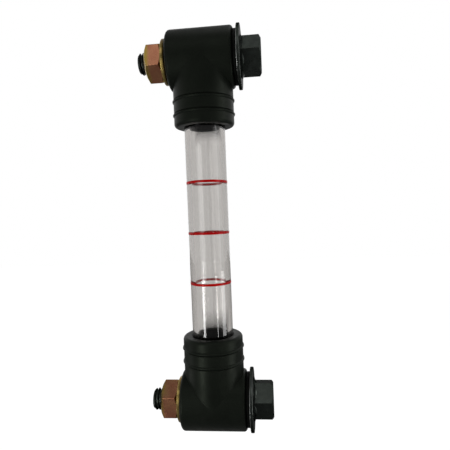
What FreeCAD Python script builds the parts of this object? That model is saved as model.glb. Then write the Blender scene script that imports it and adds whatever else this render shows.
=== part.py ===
import FreeCAD, Part
import math
import os
import Sketcher

# Tube-type oil level sight gauge for the wall of a hydraulic tank.
# +Z runs up along the tube, the bolts lie along X with their heads at +X and the tank wall at -X.
# The origin is on the tube's centre line, midway between the two bolt axes.

# Driving sizes, in millimetres and degrees
SIZES = [
    ("bolt_spacing", 160, "between the axes of the two bolts"),
    ("tube_diameter", 19, "outside of the sight tube"),
    ("tube_wall", 2.4, "wall of the sight tube"),
    ("tube_end_gap", 0.5, "from the tube's end to the floor of its socket"),
    ("tube_end_chamfer", 0.3, "broken edges at the tube's ends"),
    ("line_width", 1.15, "height of a red level line"),
    ("line_thickness", 0.12, "how far a line stands off the glass"),
    ("line_spacing", 23.4, "from one level line to the next"),
    ("line_drop", 0.45, "middle line below the middle of the tube"),
    ("barrel_diameter", 28, "elbow barrel around the bolt, and the neck of the same size"),
    ("barrel_shoulder", 1.1, "how far each face of the barrel stands out past the neck's side"),
    ("barrel_edge", 1.5, "rounding of the barrel's rims"),
    ("neck_length", 31.25, "from the bolt axis to the flat end of the neck"),
    ("neck_edge", 1.5, "rounding between the neck's side and its end"),
    ("mouth_chamfer", 0.4, "lead-in for the tube at the neck's end"),
    ("socket_clearance", 0.15, "between the tube and its socket"),
    ("socket_floor", 14, "from the bolt axis to the floor of the tube socket"),
    ("oilway_diameter", 7, "way from the bolt to the tube socket"),
    ("rib_setback", 5.6, "from the neck's end to the crest of the outer rib"),
    ("rib_spacing", 6.3, "from the outer rib to the inner one"),
    ("rib_width", 1.7, "height of a rib along the tube"),
    ("rib_rise", 0.5, "how far a rib stands off the neck"),
    ("rib_edge", 0.05, "from the crest of a rib to the nick that cuts it off on its barrel side"),
    ("rib_nick_depth", 0.35, "how deep that nick goes into the neck"),
    ("rib_nick_width", 0.85, "width of that nick"),
    ("tube_ring_cord", 2.4, "free section of the tube O-rings"),
    ("tube_ring_height", 2, "the same section when pressed"),
    ("wall_ring_cord", 2.65, "free section of the wall O-ring"),
    ("wall_ring_seat", 1.75, "depth of its seat in the barrel"),
    ("upper_ring_proud", 0.85, "how far the upper wall O-ring, hardly pressed, stands out of its seat"),
    ("lower_ring_proud", 0.1, "the same for the lower one, pressed nearly flush"),
    ("wall_ring_mean", 16.8, "middle diameter of the wall O-ring"),
    ("ring_side_play", 0.3, "room beside an O-ring in its seat"),
    ("bolt_bore", 11, "hole for the bolt through the barrel"),
    ("thread_diameter", 10, "thread of the bolt and nut"),
    ("thread_pitch", 1.5, "pitch of that thread"),
    ("tip_standout", 4.7, "how far the bolt would stand out of its nut with the wall O-ring pressed flush"),
    ("tip_chamfer", 0.9, "chamfer of the stud end"),
    ("flange_diameter", 19.2, "flange of the bolt head"),
    ("flange_edge", 0.5, "thickness of the flange at its rim"),
    ("flange_height", 2.5, "from the washer to where that slope ends, inside the hexagon"),
    ("flange_overlap", 0.3, "how far inside the hexagon's flats it ends"),
    ("flange_hollow", 2.2, "radius of its hollow slope"),
    ("head_flats", 16, "bolt head across its flats"),
    ("head_height", 9.3, "bolt head with its flange"),
    ("upper_head_turn", -2.5, "how far the upper bolt is turned about its axis"),
    ("lower_head_turn", -12.5, "how far the lower bolt is turned about its axis"),
    ("bolt_oil_bore", 4.5, "oil hole up the middle of the bolt"),
    ("bolt_port", 3.5, "cross holes of the bolt"),
    ("nut_flats", 17, "nut across its flats"),
    ("nut_height", 8, "thickness of the nut"),
    ("nut_countersink", 10.8, "mouth of the nut's bore"),
    ("upper_nut_turn", 22, "how far the upper nut is turned about its axis"),
    ("lower_nut_turn", -24, "how far the lower nut is turned about its axis"),
    ("hexagon_edge", 0.3, "rounding of the long edges of the nuts and heads"),
    ("head_chamfer", 0.95, "chamfer circle of a head as a share of its width across flats"),
    ("nut_outer_chamfer", 0.88, "the same on the free end of a nut"),
    ("nut_inner_chamfer", 0.92, "the same on the washer end of a nut"),
    ("hexagon_chamfer_angle", 30, "slope of that chamfer from square to the bolt"),
    ("drill_point", 118, "point angle of the drill that made the oil hole"),
    ("washer_bore", 10.5, "hole of the washers and of the head gasket"),
    ("nut_washer_diameter", 21, "flat washer under the nut"),
    ("nut_washer_thickness", 1.7, "flat washer under the nut"),
    ("head_washer_diameter", 29.2, "large washer under the bolt head"),
    ("head_washer_thickness", 1.5, "large washer under the bolt head"),
    ("washer_edge", 0.25, "rounding of the punched edges"),
    ("gasket_diameter", 25, "rubber ring under the large washer"),
    ("gasket_thickness", 1.7, "rubber ring under the large washer"),
    ("gasket_edge", 0.5, "rounding of the rubber ring"),
]

# How far a cut runs past the face that it opens
RUN_OUT = 1

# Rounding of a pressed O-ring's section, as a share of its height
RING_EDGE_SHARE = 0.45

HEXAGON_CORNERS = 6

document = FreeCAD.newDocument("sight_gauge")
sheet = document.addObject("Spreadsheet::Sheet", "Sizes")
for row, (alias, number, note) in enumerate(SIZES, start=1):
    sheet.set(f"A{row}", note)
    sheet.set(f"B{row}", str(number))
    sheet.setAlias(f"B{row}", alias)
document.recompute()


def size(alias):
    """The expression that reads one driving size."""
    return f"Sizes.{alias}"


def value(expression):
    """The number that an expression has now."""
    return float(sheet.evalExpression(str(expression)))


# Places that follow from the driving sizes, as expressions
bolt_height = f"({size('bolt_spacing')} / 2)"
barrel_radius = f"({size('barrel_diameter')} / 2)"
barrel_half = f"({barrel_radius} + {size('barrel_shoulder')})"
tube_radius = f"({size('tube_diameter')} / 2)"
tube_half = f"({bolt_height} - {size('socket_floor')} - {size('tube_end_gap')})"
socket_radius = f"({tube_radius} + {size('socket_clearance')})"
mouth = size("neck_length")
rib_crests = {
    "inner": f"({mouth} - {size('rib_setback')} - {size('rib_spacing')})",
    "outer": f"({mouth} - {size('rib_setback')})",
}
tube_ring_outer = f"({tube_radius} + {size('tube_ring_height')})"
wall_face = f"(-{barrel_half})"
wall_ring_floor = f"({wall_face} + {size('wall_ring_seat')})"
head_washer_face = f"({barrel_half} + {size('gasket_thickness')})"
flange_face = f"({head_washer_face} + {size('head_washer_thickness')})"
bolt_tip = f"({wall_face} - {size('nut_washer_thickness')} - {size('nut_height')} - {size('tip_standout')})"
head_end = f"({flange_face} + {size('head_height')})"
hexagon_start = f"({flange_face} + {size('flange_edge')})"
flange_top = f"({flange_face} + {size('flange_height')})"
thread_radius = f"({size('thread_diameter')} / 2)"
washer_bore_radius = f"({size('washer_bore')} / 2)"

# Nut and bolt meet on the pitch cylinder of their thread, 0.6495 pitches under its crests
PITCH_CYLINDER_DEPTH = 3 * math.sqrt(3) / 8
pitch_radius = f"({thread_radius} - {PITCH_CYLINDER_DEPTH / 2} * {size('thread_pitch')})"


def pressed_width(cord, height):
    """How wide an O-ring's section gets when it is pressed to a height, for the same section area."""
    return f"({height} + pi * ({cord}^2 - {height}^2) / (4 * {height}))"


tube_ring_width = pressed_width(size("tube_ring_cord"), size("tube_ring_height"))
wall_ring_middle = f"({size('wall_ring_mean')} / 2)"


class WallSide:
    """Places and ring sizes on the wall side of one end, which depend on how far its nut is screwed up."""

    def __init__(self, side):
        proud = size(f"{side}_ring_proud")
        self.washer_face = f"({wall_face} - {proud})"
        self.nut_face = f"({self.washer_face} - {size('nut_washer_thickness')})"
        self.nut_end = f"({self.nut_face} - {size('nut_height')})"
        self.ring_height = f"({size('wall_ring_seat')} + {proud})"
        self.ring_width = pressed_width(size("wall_ring_cord"), self.ring_height)


upper_wall_side, lower_wall_side = WallSide("upper"), WallSide("lower")


def origin_plane(body, role):
    """One of the body's own origin planes."""
    return next(item for item in body.Origin.OriginFeatures if item.Role == role)


def new_body(label):
    """An empty body with its own name."""
    body = document.addObject("PartDesign::Body", label)
    body.Label = label
    return body


def new_sketch(body, name, role):
    """An empty sketch on one of the body's own origin planes."""
    sketch = body.newObject("Sketcher::SketchObject", name)
    sketch.AttachmentSupport = (origin_plane(body, role), [""])
    sketch.MapMode = "FlatFace"
    return sketch


def bound(sketch, constraint, expression):
    """Add a constraint whose value follows an expression."""
    index = sketch.addConstraint(constraint)
    sketch.setExpression(f"Constraints[{index}]", expression)


def fix_corner(sketch, edge, end, corner):
    """Hold one end of an edge at the corner's two coordinates."""
    across, along = corner
    if across == "0":
        sketch.addConstraint(Sketcher.Constraint("PointOnObject", edge, end, -2))
    else:
        bound(sketch, Sketcher.Constraint("DistanceX", -1, 1, edge, end, value(across)), across)
    if along == "0":
        sketch.addConstraint(Sketcher.Constraint("PointOnObject", edge, end, -1))
    else:
        bound(sketch, Sketcher.Constraint("DistanceY", -1, 1, edge, end, value(along)), along)


def arc_between(start, end, radius, centre_on_left):
    """The short arc from start to end, and which of its ends is the start."""
    chord = end - start
    half = chord.Length / 2
    left = FreeCAD.Vector(-chord.y, chord.x, 0).normalize()
    side = 1 if centre_on_left else -1
    centre = (start + end) / 2 + left * side * math.sqrt(max(radius**2 - half**2, 0))
    first, last = (start, end) if centre_on_left else (end, start)
    angle_first = math.atan2(first.y - centre.y, first.x - centre.x)
    angle_last = math.atan2(last.y - centre.y, last.x - centre.x)
    circle = Part.Circle(centre, FreeCAD.Vector(0, 0, 1), radius)
    return Part.ArcOfCircle(circle, angle_first, angle_last), (1 if centre_on_left else 2)


def draw_outline(sketch, corners, arcs):
    """A closed outline. arcs gives, for an edge by number, its radius and if its centre is on the left."""
    points = [FreeCAD.Vector(value(across), value(along), 0) for across, along in corners]
    starts = []
    for number, start in enumerate(points):
        end = points[(number + 1) % len(points)]
        if number in arcs:
            radius, centre_on_left = arcs[number]
            arc, start_end = arc_between(start, end, value(radius), centre_on_left)
            edge = sketch.addGeometry(arc, False)
            bound(sketch, Sketcher.Constraint("Radius", edge, value(radius)), radius)
        else:
            edge = sketch.addGeometry(Part.LineSegment(start, end), False)
            start_end = 1
        starts.append((edge, start_end))
    for number, (edge, start_end) in enumerate(starts):
        next_edge, next_start = starts[(number + 1) % len(starts)]
        sketch.addConstraint(Sketcher.Constraint("Coincident", edge, 3 - start_end, next_edge, next_start))
        fix_corner(sketch, edge, start_end, corners[number])


def turned(body, name, corners, arcs=None, axis="H_Axis", cut=False):
    """Turn an outline in the XZ plane about the body's X axis (H_Axis) or Z axis (V_Axis)."""
    sketch = new_sketch(body, f"{name}_outline", "XZ_Plane")
    draw_outline(sketch, corners, arcs or {})
    feature = body.newObject("PartDesign::Groove" if cut else "PartDesign::Revolution", name)
    feature.Profile = sketch
    feature.ReferenceAxis = (sketch, [axis])
    feature.Angle = 360
    return feature


def rectangle(low, high, inner, outer):
    """Corners of a rectangle between two places along the axis and two radii, for a turn about X."""
    return [(low, inner), (high, inner), (high, outer), (low, outer)]


def upright(corners):
    """The same corners for a turn about Z."""
    return [(radius, place) for place, radius in corners]


def rounded(body, name, base, radius, wanted):
    """Round the edges of base that wanted picks."""
    document.recompute()
    names = [f"Edge{number}" for number, edge in enumerate(base.Shape.Edges, start=1) if wanted(edge)]
    fillet = body.newObject("PartDesign::Fillet", name)
    fillet.Base = (base, names)
    fillet.setExpression("Radius", radius)
    return fillet


def is_circle(edge):
    """True for a full circle, false for seams and other edges."""
    return isinstance(edge.Curve, Part.Circle) and edge.isClosed()


def ring(label, low, high, inner, outer, edge_radius, axis="H_Axis"):
    """A turned ring with all its edges rounded: a washer, a gasket or a pressed O-ring."""
    body = new_body(label)
    corners = rectangle(low, high, inner, outer)
    if axis == "V_Axis":
        corners = upright(corners)
    blank = turned(body, f"{label}_blank", corners, axis=axis)
    rounded(body, f"{label}_edges", blank, edge_radius, is_circle)
    return body


def hexagon(body, name, flats, low, high):
    """A hexagonal prism along X with a corner on the body's Y axis and rounded long edges."""
    sketch = new_sketch(body, f"{name}_outline", "YZ_Plane")
    half_side = 180 / HEXAGON_CORNERS
    edge = size("hexagon_edge")
    centre_radius = f"(({flats} / 2 - {edge}) / cos({half_side} deg))"
    corners = []
    for number in range(HEXAGON_CORNERS):
        turn = number * 360 / HEXAGON_CORNERS
        for along in (turn - half_side, turn + half_side):
            corners.append((
                f"({centre_radius} * cos({turn} deg) + {edge} * cos({along} deg))",
                f"({centre_radius} * sin({turn} deg) + {edge} * sin({along} deg))",
            ))
    arcs = {2 * number: (edge, True) for number in range(HEXAGON_CORNERS)}
    draw_outline(sketch, corners, arcs)
    sketch.setExpression(".AttachmentOffset.Base.z", low)
    prism = body.newObject("PartDesign::Pad", name)
    prism.Profile = sketch
    prism.setExpression("Length", f"{high} - {low}")
    return prism


def hexagon_chamfer(body, name, flats, share, end, inward):
    """Turn the corners of a hexagon off at one end. inward is +1 or -1 along X."""
    circle = f"({flats} / 2 * {share})"
    clear = f"({flats} / 2 / cos({180 / HEXAGON_CORNERS} deg) + {RUN_OUT})"
    depth = f"(({clear} - {circle}) * tan({size('hexagon_chamfer_angle')} * 1 deg))"
    corners = [(end, circle), (end, clear), (f"({end} + {inward} * {depth})", clear)]
    return turned(body, name, corners, cut=True)


def place(body, height=None, turn=None):
    """Move a body to a height on the tube's axis, turned about its own X axis."""
    if turn:
        body.Placement = FreeCAD.Placement(FreeCAD.Vector(), FreeCAD.Vector(1, 0, 0), value(turn))
        body.setExpression(".Placement.Rotation.Angle", f"{turn} * 1 deg")
    if height:
        body.setExpression(".Placement.Base.z", height)


def make_elbow(label, height, turned_over):
    """The moulded elbow, drawn with its neck along +Z and its wall face at -X."""
    body = new_body(label)
    barrel = turned(body, f"{label}_barrel", rectangle(wall_face, barrel_half, "0", barrel_radius))
    rounded(body, f"{label}_rims", barrel, size("barrel_edge"), is_circle)

    edge = size("neck_edge")
    neck_corners = [
        ("0", "0"),
        (barrel_radius, "0"),
        (barrel_radius, f"({mouth} - {edge})"),
        (f"({barrel_radius} - {edge})", mouth),
        ("0", mouth),
    ]
    turned(body, f"{label}_neck", neck_corners, {2: (edge, True)}, axis="V_Axis")

    rib_half = f"({size('rib_width')} / 2)"
    rib_radius = f"(({rib_half}^2 + {size('rib_rise')}^2) / (2 * {size('rib_rise')}))"
    rib_root = f"({barrel_radius} - {size('rib_rise')})"
    nick_floor = f"({barrel_radius} - {size('rib_nick_depth')})"
    for name, crest in rib_crests.items():
        near, far = f"({crest} - {rib_half})", f"({crest} + {rib_half})"
        rib_corners = [(rib_root, near), (barrel_radius, near), (barrel_radius, far), (rib_root, far)]
        turned(body, f"{label}_{name}_rib", rib_corners, {1: (rib_radius, True)}, axis="V_Axis")
        nick_end = f"({crest} - {size('rib_edge')})"
        nick_middle = f"({nick_end} - {size('rib_nick_width')} / 2)"
        nick_start = f"({nick_end} - {size('rib_nick_width')})"
        beyond = f"({barrel_radius} + {size('rib_rise')})"
        nick_corners = [
            (barrel_radius, nick_start),
            (nick_floor, nick_middle),
            (beyond, nick_end),
            (beyond, nick_start),
        ]
        turned(body, f"{label}_{name}_nick", nick_corners, axis="V_Axis", cut=True)

    oilway_radius = f"({size('oilway_diameter')} / 2)"
    above_mouth = f"({mouth} + {RUN_OUT})"
    mouth_radius = f"({socket_radius} + {size('mouth_chamfer')})"
    socket_corners = [
        ("0", "0"),
        (oilway_radius, "0"),
        (oilway_radius, size("socket_floor")),
        (socket_radius, size("socket_floor")),
        (socket_radius, f"({mouth} - {size('mouth_chamfer')})"),
        (mouth_radius, mouth),
        (mouth_radius, above_mouth),
        ("0", above_mouth),
    ]
    turned(body, f"{label}_socket", socket_corners, axis="V_Axis", cut=True)
    seat_half = f"({tube_ring_width} / 2 + {size('ring_side_play')} / 2)"
    for name, middle in rib_crests.items():
        near, far = f"({middle} - {seat_half})", f"({middle} + {seat_half})"
        seat = upright(rectangle(near, far, tube_radius, tube_ring_outer))
        turned(body, f"{label}_{name}_seat", seat, axis="V_Axis", cut=True)

    before_wall_face = f"({wall_face} - {RUN_OUT})"
    bore = rectangle(before_wall_face, f"({barrel_half} + {RUN_OUT})", "0", f"({size('bolt_bore')} / 2)")
    turned(body, f"{label}_bolt_bore", bore, cut=True)
    ring_half = f"({lower_wall_side.ring_width} / 2 + {size('ring_side_play')} / 2)"
    seat_inner, seat_outer = f"({wall_ring_middle} - {ring_half})", f"({wall_ring_middle} + {ring_half})"
    wall_seat = rectangle(before_wall_face, wall_ring_floor, seat_inner, seat_outer)
    turned(body, f"{label}_wall_seat", wall_seat, cut=True)
    if turned_over:
        body.Placement = FreeCAD.Placement(FreeCAD.Vector(), FreeCAD.Vector(1, 0, 0), 180)
    place(body, height)
    return body


def make_bolt(label, nut_end, height, turn):
    """The hollow bolt with its flanged hexagon head, from its tip at -X to its head at +X."""
    body = new_body(label)
    shank_corners = [
        (bolt_tip, "0"),
        (bolt_tip, f"({thread_radius} - {size('tip_chamfer')})"),
        (f"({bolt_tip} + {size('tip_chamfer')})", thread_radius),
        (nut_end, thread_radius),
        (nut_end, pitch_radius),
        (flange_face, pitch_radius),
        (flange_face, f"({size('flange_diameter')} / 2)"),
        (hexagon_start, f"({size('flange_diameter')} / 2)"),
        (flange_top, f"({size('head_flats')} / 2 - {size('flange_overlap')})"),
        (flange_top, "0"),
    ]
    slope = shank_corners.index((hexagon_start, f"({size('flange_diameter')} / 2)"))
    turned(body, f"{label}_shank", shank_corners, {slope: (size("flange_hollow"), True)})
    hexagon(body, f"{label}_hexagon", size("head_flats"), hexagon_start, head_end)
    hexagon_chamfer(body, f"{label}_head_chamfer", size("head_flats"), size("head_chamfer"), head_end, -1)

    oil_radius = f"({size('bolt_oil_bore')} / 2)"
    drill_start = f"({bolt_tip} - {RUN_OUT})"
    drill_end = size("bolt_port")
    drill_corners = [
        (drill_start, "0"),
        (drill_start, oil_radius),
        (drill_end, oil_radius),
        (f"({drill_end} + {oil_radius} / tan({size('drill_point')} / 2 * 1 deg))", "0"),
    ]
    turned(body, f"{label}_oil_bore", drill_corners, cut=True)
    for name, role in (("upright", "XY_Plane"), ("level", "XZ_Plane")):
        sketch = new_sketch(body, f"{label}_{name}_port_outline", role)
        circle = Part.Circle(FreeCAD.Vector(), FreeCAD.Vector(0, 0, 1), value(size("bolt_port")) / 2)
        sketch.addGeometry(circle, False)
        sketch.addConstraint(Sketcher.Constraint("Coincident", 0, 3, -1, 1))
        bound(sketch, Sketcher.Constraint("Diameter", 0, value(size("bolt_port"))), size("bolt_port"))
        port = body.newObject("PartDesign::Pocket", f"{label}_{name}_port")
        port.Profile = sketch
        port.Midplane = True
        port.setExpression("Length", size("thread_diameter"))
    place(body, height, turn)
    return body


def make_nut(label, nut_end, nut_face, height, turn):
    """The hexagon nut on the wall side."""
    body = new_body(label)
    hexagon(body, f"{label}_hexagon", size("nut_flats"), nut_end, nut_face)
    for side, end, inward in (("outer", nut_end, 1), ("inner", nut_face, -1)):
        share = size(f"nut_{side}_chamfer")
        hexagon_chamfer(body, f"{label}_{side}_chamfer", size("nut_flats"), share, end, inward)
    mouth_radius = f"({size('nut_countersink')} / 2)"
    sink = f"({mouth_radius} - {pitch_radius})"
    bore_corners = [
        (nut_end, "0"),
        (nut_end, mouth_radius),
        (f"({nut_end} + {sink})", pitch_radius),
        (f"({nut_face} - {sink})", pitch_radius),
        (nut_face, mouth_radius),
        (nut_face, "0"),
    ]
    turned(body, f"{label}_bore", bore_corners, cut=True)
    place(body, height, turn)
    return body


def make_tube():
    """The sight tube, with its ends just short of the socket floors."""
    body = new_body("sight_tube")
    inner = f"({tube_radius} - {size('tube_wall')})"
    section = upright(rectangle(f"(-{tube_half})", tube_half, inner, tube_radius))
    blank = turned(body, "sight_tube_blank", section, axis="V_Axis")
    document.recompute()
    names = [f"Edge{number}" for number, edge in enumerate(blank.Shape.Edges, start=1) if is_circle(edge)]
    chamfer = body.newObject("PartDesign::Chamfer", "sight_tube_ends")
    chamfer.Base = (blank, names)
    chamfer.setExpression("Size", size("tube_end_chamfer"))


def make_level_lines():
    """The three red lines around the tube."""
    half = f"({size('line_width')} / 2)"
    outer = f"({tube_radius} + {size('line_thickness')})"
    for step, name in ((1, "high"), (0, "middle"), (-1, "low")):
        body = new_body(f"{name}_level_line")
        middle = f"({step} * {size('line_spacing')} - {size('line_drop')})"
        corners = rectangle(f"({middle} - {half})", f"({middle} + {half})", tube_radius, outer)
        turned(body, f"{name}_level_line_band", upright(corners), axis="V_Axis")


def make_tube_rings(side, direction):
    """The two pressed O-rings between the tube and one neck."""
    for name, crest in rib_crests.items():
        middle = f"({direction} * ({bolt_height} - {crest}))"
        low, high = f"({middle} - {tube_ring_width} / 2)", f"({middle} + {tube_ring_width} / 2)"
        edge_radius = f"({size('tube_ring_height')} * {RING_EDGE_SHARE})"
        ring(f"{side}_{name}_tube_ring", low, high, tube_radius, tube_ring_outer, edge_radius, "V_Axis")


def make_end(side, direction):
    """One end of the gauge: elbow, bolt, nut, washers, gasket and O-rings."""
    height = f"({direction} * {bolt_height})"
    at = upper_wall_side if side == "upper" else lower_wall_side
    make_elbow(f"{side}_elbow", height, turned_over=direction > 0)
    make_bolt(f"{side}_banjo_bolt", at.nut_end, height, size(f"{side}_head_turn"))
    make_nut(f"{side}_nut", at.nut_end, at.nut_face, height, size(f"{side}_nut_turn"))
    make_tube_rings(side, direction)
    ring_inner = f"({wall_ring_middle} - {at.ring_width} / 2)"
    ring_diameter = f"(2 * {wall_ring_middle} + {at.ring_width})"
    ring_edge = f"({at.ring_height} * {RING_EDGE_SHARE})"
    bore, edge = washer_bore_radius, size("washer_edge")
    stack = [
        ("wall_ring", at.washer_face, wall_ring_floor, ring_inner, ring_diameter, ring_edge),
        ("nut_washer", at.nut_face, at.washer_face, bore, size("nut_washer_diameter"), edge),
        ("head_washer", head_washer_face, flange_face, bore, size("head_washer_diameter"), edge),
        ("head_gasket", barrel_half, head_washer_face, bore, size("gasket_diameter"), size("gasket_edge")),
    ]
    for name, low, high, inner, diameter, edge_radius in stack:
        place(ring(f"{side}_{name}", low, high, inner, f"({diameter} / 2)", edge_radius), height)


make_tube()
make_level_lines()
make_end("upper", 1)
make_end("lower", -1)
document.recompute()

failed = [item.Label for item in document.Objects if "Invalid" in item.State or "Error" in item.State]
if failed:
    raise RuntimeError(f"features failed: {failed}")
bodies = [item for item in document.Objects if item.isDerivedFrom("PartDesign::Body")]
for body in bodies:
    if body.Shape.isNull() or not body.Shape.isValid() or len(body.Shape.Solids) != 1:
        raise RuntimeError(f"{body.Label} isn't one valid solid")

os.makedirs("parts", exist_ok=True)
for body in bodies:
    body.Shape.exportStep(f"parts/{body.Label}.step")
    print(f"{body.Label}: {body.Shape.Volume:.1f} mm3")
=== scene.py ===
import math

import bmesh
import bpy
from mathutils import Matrix, Vector, noise


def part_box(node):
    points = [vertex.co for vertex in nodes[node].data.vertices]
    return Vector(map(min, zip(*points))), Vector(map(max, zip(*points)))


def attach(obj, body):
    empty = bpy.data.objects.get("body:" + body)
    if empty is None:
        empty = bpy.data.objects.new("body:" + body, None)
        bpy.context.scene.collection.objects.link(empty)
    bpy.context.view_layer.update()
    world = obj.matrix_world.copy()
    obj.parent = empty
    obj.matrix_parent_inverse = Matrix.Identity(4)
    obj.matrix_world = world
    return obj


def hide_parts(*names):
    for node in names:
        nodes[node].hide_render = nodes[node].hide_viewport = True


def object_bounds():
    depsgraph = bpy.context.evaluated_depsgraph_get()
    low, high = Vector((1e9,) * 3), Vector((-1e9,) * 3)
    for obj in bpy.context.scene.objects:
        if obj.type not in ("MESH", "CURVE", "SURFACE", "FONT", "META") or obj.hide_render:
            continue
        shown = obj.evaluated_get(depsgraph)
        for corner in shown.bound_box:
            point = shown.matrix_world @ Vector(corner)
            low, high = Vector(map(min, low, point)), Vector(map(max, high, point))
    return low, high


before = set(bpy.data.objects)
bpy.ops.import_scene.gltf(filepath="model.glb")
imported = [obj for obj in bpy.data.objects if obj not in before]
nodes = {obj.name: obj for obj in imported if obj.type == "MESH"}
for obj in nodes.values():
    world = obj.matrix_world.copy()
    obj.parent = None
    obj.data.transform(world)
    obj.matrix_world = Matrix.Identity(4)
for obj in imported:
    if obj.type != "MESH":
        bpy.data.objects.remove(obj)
cad_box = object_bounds()

# Tube-type oil level sight gauge, in metres, in the frame of its solids:
# +Z up along the tube, bolt heads at +X, tank wall at -X, origin midway between the bolt axes.

ENDS = ("upper", "lower")
LEVELS = ("high", "middle", "low")
MM = 0.001

# Places that are nearer to each other than this count as one
CLOSE = 0.01 * MM


def around(turn, distance, height):
    """A place around the tube's axis: a turn of 0 degrees is in front, and it grows to the right."""
    angle = math.radians(turn)
    return Vector((math.sin(angle) * distance, -math.cos(angle) * distance, height))


# Shader nodes. A stop is a place on some scale and the level there.

# From where to where noise mostly goes
NOISE_LOW, NOISE_HIGH = 0.3, 0.7
WHITE = (1, 1, 1, 1)


def shader_tree(name):
    """A new material with a principled shader, and what is needed to wire it."""
    material = bpy.data.materials.new(name)
    material.use_nodes = True
    tree = material.node_tree
    return material, tree, tree.nodes["Principled BSDF"]


def set_inputs(node, **inputs):
    """Set a node's inputs by name, with underscores for the spaces."""
    for name, setting in inputs.items():
        node.inputs[name.replace("_", " ")].default_value = setting


def new_node(tree, kind, **inputs):
    """A node of a kind, with its inputs set by name."""
    node = tree.nodes.new(kind)
    set_inputs(node, **inputs)
    return node


def coordinate(tree, kind):
    """A coordinate of the point that is shaded, such as Object or Normal."""
    return tree.nodes.new("ShaderNodeTexCoord").outputs[kind]


def part_of(tree, vector, axis):
    """A vector's part along X, Y or Z."""
    split = tree.nodes.new("ShaderNodeSeparateXYZ")
    tree.links.new(vector, split.inputs["Vector"])
    return split.outputs[axis]


def noise_node(tree, scale, detail=2, stretch=None):
    """Noise in the object's own coordinates, scale in lumps per metre, stretched if asked."""
    place = coordinate(tree, "Object")
    if stretch:
        mapping = new_node(tree, "ShaderNodeMapping", Scale=stretch)
        tree.links.new(place, mapping.inputs["Vector"])
        place = mapping.outputs["Vector"]
    texture = new_node(tree, "ShaderNodeTexNoise", Scale=scale, Detail=detail)
    tree.links.new(place, texture.inputs["Vector"])
    return texture.outputs["Fac"]


def ramp_node(tree, factor, stops):
    """Colours along a factor. stops are (place, (red, green, blue)) in rising order."""
    ramp = tree.nodes.new("ShaderNodeValToRGB")
    elements = ramp.color_ramp.elements
    while len(elements) < len(stops):
        elements.new(position=0.5)
    for element, (place, colour) in zip(elements, stops):
        element.position = place
        element.color = (*colour, 1)
    tree.links.new(factor, ramp.inputs["Fac"])
    return ramp.outputs["Color"]


def cloud_colour(tree, factor, dark, light):
    """A colour that wanders between two, by noise."""
    return ramp_node(tree, factor, [(NOISE_LOW, dark), (NOISE_HIGH, light)])


def level_along(tree, factor, start, end):
    """A level that goes from one stop to another along a factor, and stays there."""
    spread = new_node(
        tree, "ShaderNodeMapRange", From_Min=start[0], From_Max=end[0], To_Min=start[1], To_Max=end[1]
    )
    tree.links.new(factor, spread.inputs["Value"])
    return spread.outputs["Result"]


def cloud_level(tree, factor, low, high):
    """A level that wanders between two, by noise."""
    return level_along(tree, factor, (NOISE_LOW, low), (NOISE_HIGH, high))


def math_step(tree, operation, first, second=None):
    """One step of arithmetic on one or two values, of which the second may be a number."""
    step = tree.nodes.new("ShaderNodeMath")
    step.operation = operation
    tree.links.new(first, step.inputs[0])
    if isinstance(second, bpy.types.NodeSocket):
        tree.links.new(second, step.inputs[1])
    elif second is not None:
        step.inputs[1].default_value = second
    return step.outputs["Value"]


def combine(tree, operation, values):
    """Values put together two by two, such as by MAXIMUM or MULTIPLY."""
    result = values[0]
    for value in values[1:]:
        result = math_step(tree, operation, result, value)
    return result


def vector_step(tree, operation, vector, by=None):
    """One step of vector arithmetic, with a fixed vector where it takes two."""
    step = tree.nodes.new("ShaderNodeVectorMath")
    step.operation = operation
    tree.links.new(vector, step.inputs[0])
    if by is not None:
        step.inputs[1].default_value = by
    return step.outputs["Value" if operation in ("LENGTH", "DOT_PRODUCT") else "Vector"]


def scaled(tree, colour, share):
    """A colour times a share."""
    step = tree.nodes.new("ShaderNodeVectorMath")
    step.operation = "SCALE"
    tree.links.new(colour, step.inputs[0])
    tree.links.new(share, step.inputs["Scale"])
    return step.outputs["Vector"]


def blend_node(tree, share, first, second):
    """A colour that goes from the first to the second by a share. Each may be fixed or a node's output."""
    mix = tree.nodes.new("ShaderNodeMix")
    mix.data_type = "VECTOR"
    tree.links.new(share, mix.inputs["Factor"])
    for socket, colour in ((mix.inputs[4], first), (mix.inputs[5], second)):
        if isinstance(colour, bpy.types.NodeSocket):
            tree.links.new(colour, socket)
        else:
            socket.default_value = colour
    return mix.outputs[1]


def mix_shaders(tree, share, first, second):
    """A material's surface of two shaders, by the share of the second, fixed or a node's output."""
    mix = tree.nodes.new("ShaderNodeMixShader")
    if isinstance(share, bpy.types.NodeSocket):
        tree.links.new(share, mix.inputs["Fac"])
    else:
        mix.inputs["Fac"].default_value = share
    tree.links.new(first.outputs["BSDF"], mix.inputs[1])
    tree.links.new(second.outputs["BSDF"], mix.inputs[2])
    tree.links.new(mix.outputs["Shader"], tree.nodes["Material Output"].inputs["Surface"])


def link_looks(tree, shader, colour, roughness):
    """Link what a shader's colour and roughness come from."""
    tree.links.new(colour, shader.inputs["Base Color"])
    tree.links.new(roughness, shader.inputs["Roughness"])


def bump_node(tree, shader, height, distance, strength):
    """Give the shader a bump of a real height in metres, on top of the one it has."""
    bump = new_node(tree, "ShaderNodeBump", Strength=strength, Distance=distance)
    tree.links.new(height, bump.inputs["Height"])
    if shader.inputs["Normal"].is_linked:
        tree.links.new(shader.inputs["Normal"].links[0].from_socket, bump.inputs["Normal"])
    tree.links.new(bump.outputs["Normal"], shader.inputs["Normal"])


def facing_head(tree):
    """How far a face turns along the bolts, from -1 towards the tank to 1 towards the bolt heads."""
    return part_of(tree, coordinate(tree, "Normal"), "X")


def steepness(tree):
    """How far a face turns from the bolts' radial way to their axis, from 0 to 1."""
    return math_step(tree, "ABSOLUTE", facing_head(tree))


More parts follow.
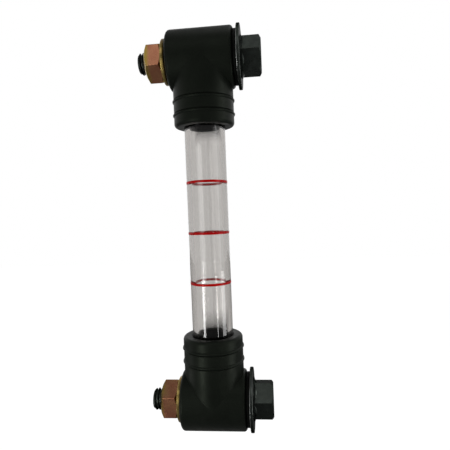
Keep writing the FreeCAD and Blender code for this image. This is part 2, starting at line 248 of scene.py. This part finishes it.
def seen_directly(tree):
    """Two values, one of which is 1 where the camera looks, straight or through the tube."""
    path = tree.nodes.new("ShaderNodeLightPath")
    return [path.outputs["Is Camera Ray"], path.outputs["Is Transmission Ray"]]


# Moulding and rubber: darkest and lightest colour
MOULDING_COLOURS = ((0.0046, 0.0056, 0.0044), (0.0070, 0.0084, 0.0066))
RUBBER_COLOURS = ((0.0018, 0.0022, 0.0018), (0.0036, 0.0042, 0.0034))


def black_moulding():
    """Satin black moulded plastic with a fine grain and soft waves."""
    material, tree, shader = shader_tree("black_moulding")
    colour = cloud_colour(tree, noise_node(tree, scale=90, detail=4), *MOULDING_COLOURS)
    roughness = cloud_level(tree, noise_node(tree, scale=320, detail=4), low=0.34, high=0.44)
    link_looks(tree, shader, colour, roughness)
    set_inputs(shader, Specular_IOR_Level=0.065, Specular_Tint=(0.85, 1, 0.76, 1))
    bump_node(tree, shader, noise_node(tree, scale=2600, detail=3), distance=0.02 * MM, strength=0.5)
    bump_node(tree, shader, noise_node(tree, scale=190, detail=1), distance=0.05 * MM, strength=0.35)
    return material


def seal_rubber():
    """Matt black rubber."""
    material, tree, shader = shader_tree("seal_rubber")
    colour = cloud_colour(tree, noise_node(tree, scale=400, detail=4), *RUBBER_COLOURS)
    roughness = cloud_level(tree, noise_node(tree, scale=900), low=0.55, high=0.7)
    link_looks(tree, shader, colour, roughness)
    set_inputs(shader, Specular_IOR_Level=0.06)
    bump_node(tree, shader, noise_node(tree, scale=3000), distance=0.01 * MM, strength=0.5)
    return material


# Black oxide: its darkest and lightest colour, and the colour of bare steel on edges: wear and a painted
# glint
# The upper bolt has a darker copy of the black oxide colours: a painted shade
UPPER_BOLT_SHADED_COLOURS = ((0.031, 0.035, 0.032), (0.036, 0.042, 0.037))
BLACK_STEEL_COLOURS = ((0.040, 0.046, 0.041), (0.047, 0.054, 0.048))
BARE_STEEL_AND_GLINT = (0.35, 0.36, 0.35)

# Where the bare steel shows, as wear and as a painted glint: on edges, so between two steepnesses, and more
# on the side that faces the tank
WEAR_AND_GLINT_FROM = [(0.2, 0), (0.3, 1)]
WEAR_AND_GLINT_TO = [(0.8, 1), (0.95, 0)]
WEAR_AND_GLINT_SIDE = [(-0.1, 1), (0.1, 0.12)]


def black_steel(name, colours, grazing, worn_and_glinting_edges=False):
    """Black oxide over steel: dark, a little glossy, with a faint cloudiness and, if asked, bare steel at
    punched edges, partly wear and partly a painted glint. grazing is how much of its gloss it keeps where it
    is looked along."""
    material, tree, shader = shader_tree(name)
    colour = cloud_colour(tree, noise_node(tree, scale=260, detail=6), *colours)
    if worn_and_glinting_edges:
        slope = steepness(tree)
        wear_and_glint = [level_along(tree, slope, *stops) for stops in (WEAR_AND_GLINT_FROM, WEAR_AND_GLINT_TO)]
        wear_and_glint.append(level_along(tree, facing_head(tree), *WEAR_AND_GLINT_SIDE))
        # Bare steel on edges: wear, and a painted glint
        colour = blend_node(tree, combine(tree, "MINIMUM", wear_and_glint), colour, BARE_STEEL_AND_GLINT)
    roughness = cloud_level(tree, noise_node(tree, scale=500, detail=5), low=0.25, high=0.38)
    link_looks(tree, shader, colour, roughness)
    set_inputs(shader, Metallic=1, Specular_Tint=(grazing, grazing, grazing, 1))
    bump_node(tree, shader, noise_node(tree, scale=600, detail=3), distance=0.008 * MM, strength=0.3)
    return material


# Colours of the zinc plate, by how far its patches have drifted
NUT_COLOURS = [
    (0.34, (0.27, 0.105, 0.060)),
    (0.48, (0.31, 0.135, 0.075)),
    (0.60, (0.33, 0.165, 0.085)),
    (0.72, (0.30, 0.190, 0.065)),
]
WASHER_COLOURS = [
    (0.34, (0.26, 0.190, 0.055)),
    (0.50, (0.32, 0.240, 0.080)),
    (0.66, (0.27, 0.170, 0.065)),
]

# Gold of steep faces, by steepness, and of the nuts near their rim, by distance from it
ZINC_AT_ENDS = (0.36, 0.25, 0.08)
ZINC_ENDS = [(0.2, 0), (0.7, 1)]
ZINC_AT_RIM = (0.26, 0.19, 0.035)
ZINC_RIM = [(1.0 * MM, 1), (2.8 * MM, 0)]

# Painted shade on the washers, by shares of their thickness towards the elbow
WASHER_PAINTED_SHADE = (0.065, 0.045, 0.012)
WASHER_PAINTED_SHADE_STOPS = [(0.4, 0), (0.8, 1)]


def yellow_zinc(name, stops, drift_or_shade, drift_or_shade_colour):
    """Passivated zinc plate, whose colour drifts in patches and is more golden on chamfers and end faces.
    Along the bolt it goes over into another colour, between the two stops of drift_or_shade: on the nuts the
    gold of the plate near their rim, on the washers a painted shade."""
    material, tree, shader = shader_tree(name)
    sides = ramp_node(tree, noise_node(tree, scale=110, detail=2), stops)
    drift_or_shade_share = level_along(tree, part_of(tree, coordinate(tree, "Object"), "X"), *drift_or_shade)
    # On the nuts this is the plate's gold near the rim; on the washers it is a painted shade
    sides = blend_node(tree, drift_or_shade_share, sides, drift_or_shade_colour)
    colour = blend_node(tree, level_along(tree, steepness(tree), *ZINC_ENDS), sides, ZINC_AT_ENDS)
    roughness = cloud_level(tree, noise_node(tree, scale=200, detail=1), low=0.22, high=0.3)
    link_looks(tree, shader, colour, roughness)
    set_inputs(shader, Metallic=1)
    bump_node(tree, shader, noise_node(tree, scale=240, detail=1), distance=0.006 * MM, strength=0.3)
    return material


def zinc_nut():
    """Zinc plate that is golden towards the nuts' free ends."""
    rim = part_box("upper_nut")[0].x
    drift_or_shade = [(rim + distance, share) for distance, share in ZINC_RIM]
    return yellow_zinc("zinc_nut", NUT_COLOURS, drift_or_shade, ZINC_AT_RIM)


def zinc_washer(end):
    """Zinc plate with a painted shade of the elbow's rounded rim, darker towards the elbow."""
    low, high = (corner.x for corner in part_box(f"{end}_nut_washer"))
    drift_or_shade = [(low + (high - low) * place, share) for place, share in WASHER_PAINTED_SHADE_STOPS]
    return yellow_zinc(f"{end}_zinc_washer", WASHER_COLOURS, drift_or_shade, WASHER_PAINTED_SHADE)


# The clear tube: the grey of its outside and of its wall, and where its inside ends and its outside begins,
# as shares of its radius
TUBE_TINT = (0.78, 0.76, 0.74)
TUBE_IOR = 1.49
WALL_COLOUR = (0.06, 0.03, 0)
WALL_DENSITY = 108
TUBE_OUTSIDE = [(0.85, 0), (0.9, 1)]

# The noise of its lengthwise bands and fine lines: how it is stretched, and the depth and limits of the bands
ALONG_TUBE = (1, 1, 0.01)
BAND_DEPTH = 0.08
BAND_LOW, BAND_HIGH = 0.35, 0.65

# Its faint dark streak: where it is, and how much light it leaves by degrees from there
STREAK_TURN = 15.5
STREAK = [(0, 0.76), (6, 1)]

# The soft shade of the elbows on both ends of the tube's front: how much light it leaves by degrees from its
# middle, and by height
SHADE_TURN = 20
SHADE = [(28, 0), (42, 1)]
SHADE_ABOVE = [(40.5 * MM, 1), (45 * MM, 0.2)]
SHADE_BELOW = [(-43 * MM, 0.06), (-34.8 * MM, 1)]


def level_round(tree, way, turn, near, far):
    """A level that goes from one stop to another by how many degrees a way round the tube is off a turn."""
    closeness = vector_step(tree, "DOT_PRODUCT", way, around(turn, 1, 0))
    start, end = [(math.cos(math.radians(degrees)), level) for degrees, level in (far, near)]
    return level_along(tree, closeness, start, end)


def tube_colour(tree):
    """Clear on the tube's inside, and on its outside grey with lengthwise bands, one faint dark streak and
    soft shade at both ends."""
    bands = noise_node(tree, scale=260, detail=3, stretch=ALONG_TUBE)
    dark, light = [[part * share for part in TUBE_TINT] for share in (1 - BAND_DEPTH, 1 + BAND_DEPTH)]
    grey = ramp_node(tree, bands, [(BAND_LOW, dark), (BAND_HIGH, light)])
    place = coordinate(tree, "Object")
    from_axis = vector_step(tree, "MULTIPLY", place, (1, 1, 0))
    way = vector_step(tree, "NORMALIZE", from_axis)
    height = part_of(tree, place, "Z")
    by_height = [level_along(tree, height, *stops) for stops in (SHADE_BELOW, SHADE_ABOVE)]
    unshaded = [level_round(tree, way, SHADE_TURN, *SHADE), combine(tree, "MINIMUM", by_height)]
    light_left = [level_round(tree, way, STREAK_TURN, *STREAK), combine(tree, "MAXIMUM", unshaded)]
    grey = scaled(tree, grey, combine(tree, "MULTIPLY", light_left))
    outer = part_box("sight_tube")[1].x
    stops = [(outer * share, level) for share, level in TUBE_OUTSIDE]
    outside = level_along(tree, vector_step(tree, "LENGTH", from_axis), *stops)
    return blend_node(tree, outside, WHITE[:3], grey)


def clear_tube():
    """Clear tube, greyer where its wall is looked along. Light passes through it to the things behind."""
    material, tree, shader = shader_tree("clear_tube")
    lines = noise_node(tree, scale=900, detail=2, stretch=ALONG_TUBE)
    link_looks(tree, shader, tube_colour(tree), cloud_level(tree, lines, low=0.01, high=0.04))
    set_inputs(shader, Transmission_Weight=1, IOR=TUBE_IOR)
    bump_node(tree, shader, lines, distance=0.01 * MM, strength=0.4)
    passed = new_node(tree, "ShaderNodeBsdfTransparent", Color=(*TUBE_TINT, 1))
    path = tree.nodes.new("ShaderNodeLightPath")
    mix_shaders(tree, path.outputs["Is Shadow Ray"], shader, passed)
    grey = new_node(tree, "ShaderNodeVolumeAbsorption", Color=(*WALL_COLOUR, 1), Density=WALL_DENSITY)
    tree.links.new(grey.outputs["Volume"], tree.nodes["Material Output"].inputs["Volume"])
    return material


# The enamel of the lines: darkest and lightest colour, and the share of the light that it lets through
ENAMEL_COLOURS = ((0.55, 0.001, 0.002), (0.72, 0.002, 0.003))
ENAMEL_CLEARNESS = 0.6


def red_enamel():
    """Glossy red enamel, a little uneven, thin enough to let some light through."""
    material, tree, shader = shader_tree("red_line")
    colour = cloud_colour(tree, noise_node(tree, scale=700, detail=4), *ENAMEL_COLOURS)
    roughness = cloud_level(tree, noise_node(tree, scale=1500), low=0.08, high=0.2)
    link_looks(tree, shader, colour, roughness)
    set_inputs(shader, Specular_IOR_Level=0.3)
    through = tree.nodes.new("ShaderNodeBsdfTransparent")
    tree.links.new(colour, through.inputs["Color"])
    mix_shaders(tree, ENAMEL_CLEARNESS, shader, through)
    return material


# The materials, by the piece or the kind of piece that has them
FINISHES = {
    "sight_tube": clear_tube(),
    "elbow": black_moulding(),
    "upper_banjo_bolt": black_steel("upper_shaded_black_steel", UPPER_BOLT_SHADED_COLOURS, grazing=0.52),
    "lower_banjo_bolt": black_steel("lower_black_steel", BLACK_STEEL_COLOURS, grazing=0.25),
    "head_washer": black_steel("black_washer_steel", BLACK_STEEL_COLOURS, grazing=0.2, worn_and_glinting_edges=True),
    "nut": zinc_nut(),
    "upper_nut_washer": zinc_washer("upper"),
    "lower_nut_washer": zinc_washer("lower"),
    "rubber": seal_rubber(),
    "level_line": red_enamel(),
}
RUBBER_PIECES = ("inner_tube_ring", "outer_tube_ring", "wall_ring", "head_gasket")


def new_object(name, data):
    """An object with that data, in the scene."""
    item = bpy.data.objects.new(name, data)
    bpy.context.scene.collection.objects.link(item)
    return item


def finish_node(node, finish):
    """Give a node of the frame its material."""
    nodes[node].data.materials.clear()
    nodes[node].data.materials.append(FINISHES[finish])


def new_piece(name, fill, finish, node):
    """A piece that stands for a node, from a function that fills its mesh."""
    mesh = bpy.data.meshes.new(name)
    grid = bmesh.new()
    fill(grid)
    grid.to_mesh(mesh)
    grid.free()
    piece = new_object(name, mesh)
    mesh.materials.append(FINISHES[finish])
    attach(piece, "root")
    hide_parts(node)


def band(grid, rings, closed=False):
    """Smooth faces between rings of points, with the last ring joined to the first if the band is closed."""
    following_rings = rings[1:] + (rings[:1] if closed else [])
    for ring, following in zip(rings, following_rings):
        for number in range(len(ring)):
            after = (number + 1) % len(ring)
            grid.faces.new((ring[number], ring[after], following[after], following[number])).smooth = True


def angles(count):
    """That many angles, evenly round a circle."""
    return [2 * math.pi * step / count for step in range(count)]


TUBE_STEPS = 256


def tube_profile(node):
    """The tube's section, as radii and heights. Its edges are broken at 45 degrees."""
    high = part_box(node)[1]
    outer, top = high.x, high.z
    places = [(math.hypot(vertex.co.x, vertex.co.y), vertex.co.z) for vertex in nodes[node].data.vertices]
    inner = min(radius for radius, _ in places)
    straight = max(height for radius, height in places if radius > outer - CLOSE)
    edge = top - straight
    return [
        (outer, -straight), (outer, straight), (outer - edge, top), (inner + edge, top),
        (inner, straight), (inner, -straight), (inner + edge, -top), (outer - edge, -top),
    ]


def make_tube():
    """The clear tube, truly round."""
    node = "sight_tube"

    def fill(grid):
        rings = []
        for radius, height in tube_profile(node):
            ring = []
            for angle in angles(TUBE_STEPS):
                ring.append(grid.verts.new((radius * math.cos(angle), radius * math.sin(angle), height)))
            rings.append(ring)
        band(grid, rings, closed=True)
        for ring in rings:
            for vertex, following in zip(ring, ring[1:] + ring[:1]):
                grid.edges.get((vertex, following)).smooth = False
        bmesh.ops.recalc_face_normals(grid, faces=grid.faces)

    new_piece("clear_tube", fill, node, node)


# A painted line. Its section is a low dome, in shares of half its width across and of its thickness out from
# the tube, where -1 stands for sunk into it.
LINE_SECTION = [(-1, 0), (-0.92, 0.6), (-0.7, 1), (0.7, 1), (0.92, 0.6), (1, 0), (1, -1), (-1, -1)]
LINE_STEPS = 240
LINE_SUNK = 0.03 * MM

# How far its edges wander, in how many lumps per radius, how far off in the noise each edge is, and how much
# higher the line is in front than at the side
LINE_WANDER = 0.05 * MM
LINE_LUMPS = 3
LINE_EDGE_SEED = 50
LINE_LEANS = {"high": 0.25 * MM, "middle": 0, "low": 0}


def make_level_line(level):
    """A line of enamel around the tube."""
    node = f"{level}_level_line"
    low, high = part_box(node)
    tube_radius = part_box("sight_tube")[1].x
    middle, half, thickness = (low.z + high.z) / 2, (high.z - low.z) / 2, high.x - tube_radius

    def fill(grid):
        rings = []
        for across, rise in LINE_SECTION:
            seed = Vector((0, 0, middle / MM + math.copysign(LINE_EDGE_SEED, across)))
            radius = tube_radius + (rise * thickness if rise >= 0 else -LINE_SUNK)
            ring = []
            for angle in angles(LINE_STEPS):
                way = Vector((math.cos(angle), math.sin(angle), 0))
                wander = LINE_WANDER * noise.noise(way * LINE_LUMPS + seed)
                height = middle + across * half + wander - way.y * LINE_LEANS[level]
                ring.append(grid.verts.new(way * radius + Vector((0, 0, height))))
            rings.append(ring)
        band(grid, rings, closed=True)
        bmesh.ops.recalc_face_normals(grid, faces=grid.faces)

    new_piece(f"{level}_painted_line", fill, "level_line", node)


# Thread of the bolt: the flat of its crest and the length of its flank are the standard ones
THREAD_PITCH = 1.5 * MM
THREAD_CREST = THREAD_PITCH / 8
THREAD_FLANK = THREAD_PITCH * 5 / 16
THREAD_STEPS_AROUND = 96
THREAD_STEPS_A_PITCH = 24


def thread_depth(phase):
    """How deep the thread is at a phase of its pitch, from 0 at the crest to 1 at the root."""
    off_crest = abs(phase - 0.5) * THREAD_PITCH
    return min(max((off_crest - THREAD_CREST / 2) / THREAD_FLANK, 0), 1)


def make_bolt(end):
    """The hollow bolt with a true right-hand thread on its free end."""
    node = f"{end}_banjo_bolt"
    nut_low, nut_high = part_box(f"{end}_nut")
    axis_height = (nut_low.z + nut_high.z) / 2
    tip, nut_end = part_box(node)[0].x, nut_low.x

    def reach(place):
        return math.hypot(place.y, place.z - axis_height)

    source = nodes[node].data
    free_end = [vertex.co for vertex in source.vertices if vertex.co.x < nut_end - CLOSE]
    crest = max(reach(place) for place in free_end)
    root = max(reach(place) for place in free_end if place.x < tip + CLOSE)

    def is_plain_outside(face):
        """If a face is part of the plain cylinder or chamfer that the thread stands for."""
        places = [vertex.co for vertex in face.verts]
        outside = all(place.x < nut_end + CLOSE and reach(place) > root - CLOSE for place in places)
        return outside and any(place.x > tip + CLOSE for place in places)

    def fill(grid):
        grid.from_mesh(source)
        plain = [face for face in grid.faces if is_plain_outside(face)]
        bmesh.ops.delete(grid, geom=plain, context="FACES")
        start = nut_end + (crest - root)
        steps = math.ceil((start - tip) / THREAD_PITCH * THREAD_STEPS_A_PITCH)
        rings = []
        for step in range(steps + 1):
            along = tip + (start - tip) * step / steps
            chamfer = root + along - tip
            ring = []
            for turn, angle in enumerate(angles(THREAD_STEPS_AROUND)):
                phase = (along / THREAD_PITCH - turn / THREAD_STEPS_AROUND) % 1
                radius = min(crest - (crest - root) * thread_depth(phase), chamfer)
                place = Vector((along, radius * math.cos(angle), axis_height + radius * math.sin(angle)))
                ring.append(grid.verts.new(place))
            rings.append(ring)
        band(grid, rings)

    new_piece(f"{end}_threaded_bolt", fill, node, node)


def dress_nodes():
    """Give every node of the frame its finish."""
    make_tube()
    for end in ENDS:
        for piece in ("elbow", "head_washer", "nut"):
            finish_node(f"{end}_{piece}", piece)
        finish_node(f"{end}_nut_washer", f"{end}_nut_washer")
        for piece in RUBBER_PIECES:
            finish_node(f"{end}_{piece}", "rubber")
        make_bolt(end)
    for level in LEVELS:
        make_level_line(level)


# Studio. Levels are shares of white. The floor has a painted shade: its colour goes from dark to pale by the
# distance from one place on it, and it glows where the camera sees it.
FLOOR_DROP = 0.16
FLOOR_SIZE = 4.0
PAINTED_SHADE_PLACE = Vector((0.03, -0.09, 0))
FLOOR_TONE_AND_PAINTED_SHADE = [(0.07, 0.14), (0.13, 0.28)]
FLOOR_ROUGHNESS = 0.9
FLOOR_GLOW = 0.86

# The world's light in gloss, by the way to it: dimmer in front, which is -Y, and above
WORLD_IN_FRONT = [(-0.7, 0.25), (0, 1)]
WORLD_ABOVE = [(0.4, 1), (0.9, 0.35)]


def make_floor():
    """A pale floor under the gauge, which keeps its shadow, with a painted shade: a dark patch below the
    lower bolt head.
    """
    low = cad_box[0].z - FLOOR_DROP
    half = FLOOR_SIZE / 2
    corners = [(-half, -half, low), (half, -half, low), (half, half, low), (-half, half, low)]
    mesh = bpy.data.meshes.new("floor")
    mesh.from_pydata(corners, [], [(0, 1, 2, 3)])
    floor = new_object("floor", mesh)
    material, tree, shader = shader_tree("pale_floor")
    on_floor = vector_step(tree, "MULTIPLY", coordinate(tree, "Object"), (1, 1, 0))
    from_painted_shade = vector_step(tree, "LENGTH", vector_step(tree, "SUBTRACT", on_floor, PAINTED_SHADE_PLACE))
    glow = math_step(tree, "MULTIPLY", combine(tree, "MAXIMUM", seen_directly(tree)), FLOOR_GLOW)
    # Painted shade: the floor's colour is darker near one place below the gauge
    tree.links.new(level_along(tree, from_painted_shade, *FLOOR_TONE_AND_PAINTED_SHADE), shader.inputs["Base Color"])
    tree.links.new(glow, shader.inputs["Emission Strength"])
    set_inputs(shader, Roughness=FLOOR_ROUGHNESS, Specular_IOR_Level=0, Emission_Color=WHITE)
    mesh.materials.append(material)


def make_world():
    """White where it is seen, straight or through the tube, and in gloss round the back and sides. Above and
    in front it is dimmer, as a studio is behind its camera."""
    world = bpy.data.worlds.new("studio")
    bpy.context.scene.world = world
    world.use_nodes = True
    tree = world.node_tree
    background = tree.nodes["Background"]
    way = coordinate(tree, "Generated")
    in_front = level_along(tree, part_of(tree, way, "Y"), *WORLD_IN_FRONT)
    above = level_along(tree, part_of(tree, way, "Z"), *WORLD_ABOVE)
    in_gloss = combine(tree, "MINIMUM", [in_front, above])
    strength = combine(tree, "MAXIMUM", [in_gloss, *seen_directly(tree)])
    tree.links.new(strength, background.inputs["Strength"])
    set_inputs(background, Color=WHITE)


# Watts for each square metre of a rectangular lamp that make it as bright as white
LAMP_WATTS = 4

# Soft lamps: place, what it faces, width, height and brightness, with white as 1
LAMPS = {
    "top_box": (around(125, 0.09, 0.5), (0.02, 0, 0), 0.2, 0.3, 0.7),
    "front_box": (around(-10, 0.38, 0.4), (0, 0, 0), 0.3, 0.22, 0.8),
    "left_strip": (around(-38, 0.3, -0.145), (0, 0, -0.1), 0.06, 0.15, 10.5),
    "left_spike": (around(-31, 0.3, -0.062), (0, 0, -0.02), 0.025, 0.03, 5),
    "left_glow": (around(-31, 0.3, 0.004), (0, 0, 0), 0.15, 0.162, 1.7),
    "left_low_window": (around(-92, 0.3, -0.2), (0, 0, -0.08), 0.12, 0.08, 1.6),
    "right_glow": (around(70, 0.3, 0.06), (0, 0, 0.03), 0.06, 0.24, 1.6),
    "right_strip": (around(37, 0.3, -0.13), (0, 0, -0.09), 0.016, 0.07, 8),
    "right_low_window": (around(78, 0.3, -0.14), (0, 0, -0.08), 0.12, 0.16, 4),
    "right_high_window": (around(88, 0.5, 0.22), (0, 0, 0.06), 0.16, 0.13, 4),
}


def make_lamps():
    """The soft studio lamps."""
    for name, (place, aim, width, height, level) in LAMPS.items():
        lamp = bpy.data.lights.new(name, "AREA")
        lamp.shape = "RECTANGLE"
        lamp.size, lamp.size_y = width, height
        lamp.energy = LAMP_WATTS * width * height * level
        holder = new_object(name, lamp)
        holder.location = place
        holder.rotation_euler = (Vector(aim) - place).to_track_quat("-Z", "Y").to_euler()


# The photograph's camera, for a square image: its place, its turns in radians, and its lens and sensor in mm
CAMERA_PLACE = Vector((28.45, -199.61, 9.32)) * MM
CAMERA_YAW, CAMERA_PITCH, CAMERA_ROLL = 0.1033, -0.0323, 0.0396
CAMERA_LENS = 34.21
CAMERA_SENSOR = 36
CAMERA_NEAR = 10 * MM


def make_camera():
    """The photograph's camera. Before its turns it looks along +Y."""
    data = bpy.data.cameras.new("camera")
    data.sensor_width = CAMERA_SENSOR
    data.lens = CAMERA_LENS
    data.clip_start = CAMERA_NEAR
    camera = new_object("camera", data)
    turn = Matrix.Rotation(CAMERA_YAW, 4, "Z") @ Matrix.Rotation(CAMERA_PITCH, 4, "X")
    turn = turn @ Matrix.Rotation(CAMERA_ROLL, 4, "Y") @ Matrix.Rotation(math.pi / 2, 4, "X")
    camera.matrix_world = Matrix.Translation(CAMERA_PLACE) @ turn
    bpy.context.scene.camera = camera


dress_nodes()
make_floor()
make_world()
make_lamps()
make_camera()
bpy.context.scene.view_settings.view_transform = "Standard"
